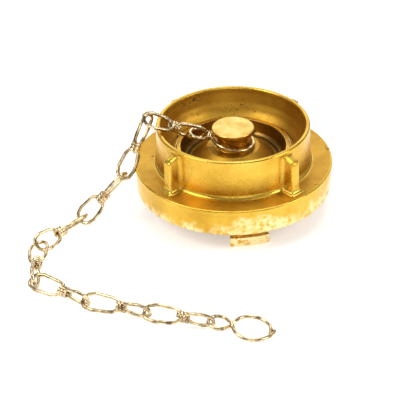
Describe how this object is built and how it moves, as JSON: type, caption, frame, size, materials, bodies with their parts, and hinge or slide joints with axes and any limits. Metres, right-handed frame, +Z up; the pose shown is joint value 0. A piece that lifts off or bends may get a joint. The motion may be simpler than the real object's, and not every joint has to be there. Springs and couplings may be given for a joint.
{
  "type": "hose coupling blank cap",
  "caption": "Quarter-turn lug blank cap for a fire hose coupling, with turning plate, rubber seal and knotted wire chain ending in a hook.",
  "frame": {"origin": "on the turning axis, in the plane of the mating face (the lower edge of the skirt)", "axes": "+Z up along the turning axis, from the mating face towards the knob; +X to the right and -Y towards the viewer when the chain lies to the front left"},
  "size_m": [0.1484, 0.1709, 0.0546],
  "materials": {
    "ring_brass": "turned and cast brass, bright",
    "plate_brass": "turned brass with a cast top face",
    "spring_wire": "bright spring wire",
    "seal_rubber": "matt black",
    "chain_wire": "bright drawn wire, slightly yellow"
  },
  "bodies": {
    "lug_ring": {"locking_ring": "ring_brass"},
    "plate": {"cap_plate": "plate_brass", "seal_ring": "seal_rubber", "snap_ring": "spring_wire"},
    "swivel": {"swivel_ring": "chain_wire"},
    "link_1": {"chain_link_1": "chain_wire"},
    "link_2": {"chain_link_2": "chain_wire"},
    "link_3": {"chain_link_3": "chain_wire"},
    "link_4": {"chain_link_4": "chain_wire"},
    "link_5": {"chain_link_5": "chain_wire"},
    "link_6": {"chain_link_6": "chain_wire"},
    "link_7": {"chain_link_7": "chain_wire"},
    "link_8": {"chain_link_8": "chain_wire"},
    "hook": {"end_hook": "chain_wire"}
  },
  "joints": [
    {"name": "cap_turn", "type": "hinge", "parent": "lug_ring", "child": "plate", "pos_m": [0, 0, 0.015], "axis": [0, 0, 1], "continuous": true},
    {"name": "swivel_turn", "type": "hinge", "parent": "plate", "child": "swivel", "pos_m": [0, 0, 0.0248], "axis": [0, 0, 1], "continuous": true},
    {"name": "link_1_lift", "type": "hinge", "parent": "swivel", "child": "link_1", "pos_m": [-0.02084, -0.00011, 0.03175], "axis": [0.087, 0.9962, 0], "range_deg": [0, 60]},
    {"name": "link_2_lift", "type": "hinge", "parent": "link_1", "child": "link_2", "pos_m": [-0.04312, -0.00608, 0.0415], "axis": [0.7193, -0.6947, 0], "range_deg": [-75, 0]},
    {"name": "link_3_lift", "type": "hinge", "parent": "link_2", "child": "link_3", "pos_m": [-0.05432, -0.01912, 0.01557], "axis": [-0.225, 0.9744, 0], "range_deg": [-20, 20]},
    {"name": "link_4_lift", "type": "hinge", "parent": "link_3", "child": "link_4", "pos_m": [-0.07538, -0.02355, -0.00603], "axis": [0.7547, -0.6561, 0], "range_deg": [-40, 40]},
    {"name": "link_5_swing", "type": "hinge", "parent": "link_4", "child": "link_5", "pos_m": [-0.09489, -0.04704, -0.00484], "axis": [0, 0, 1], "range_deg": [-70, 8]},
    {"name": "link_6_swing", "type": "hinge", "parent": "link_5", "child": "link_6", "pos_m": [-0.09364, -0.07761, -0.00484], "axis": [0, 0, -1], "range_deg": [-5, 90]},
    {"name": "link_7_swing", "type": "hinge", "parent": "link_6", "child": "link_7", "pos_m": [-0.06747, -0.09294, -0.00484], "axis": [0, 0, 1], "range_deg": [-70, 35]},
    {"name": "link_8_swing", "type": "hinge", "parent": "link_7", "child": "link_8", "pos_m": [-0.039, -0.10243, -0.00484], "axis": [0, 0, -1], "range_deg": [-55, 60]},
    {"name": "hook_swing", "type": "hinge", "parent": "link_8", "child": "hook", "pos_m": [-0.00998, -0.11011, -0.00484], "axis": [0, 0, 1], "range_deg": [-60, 50]}
  ]
}
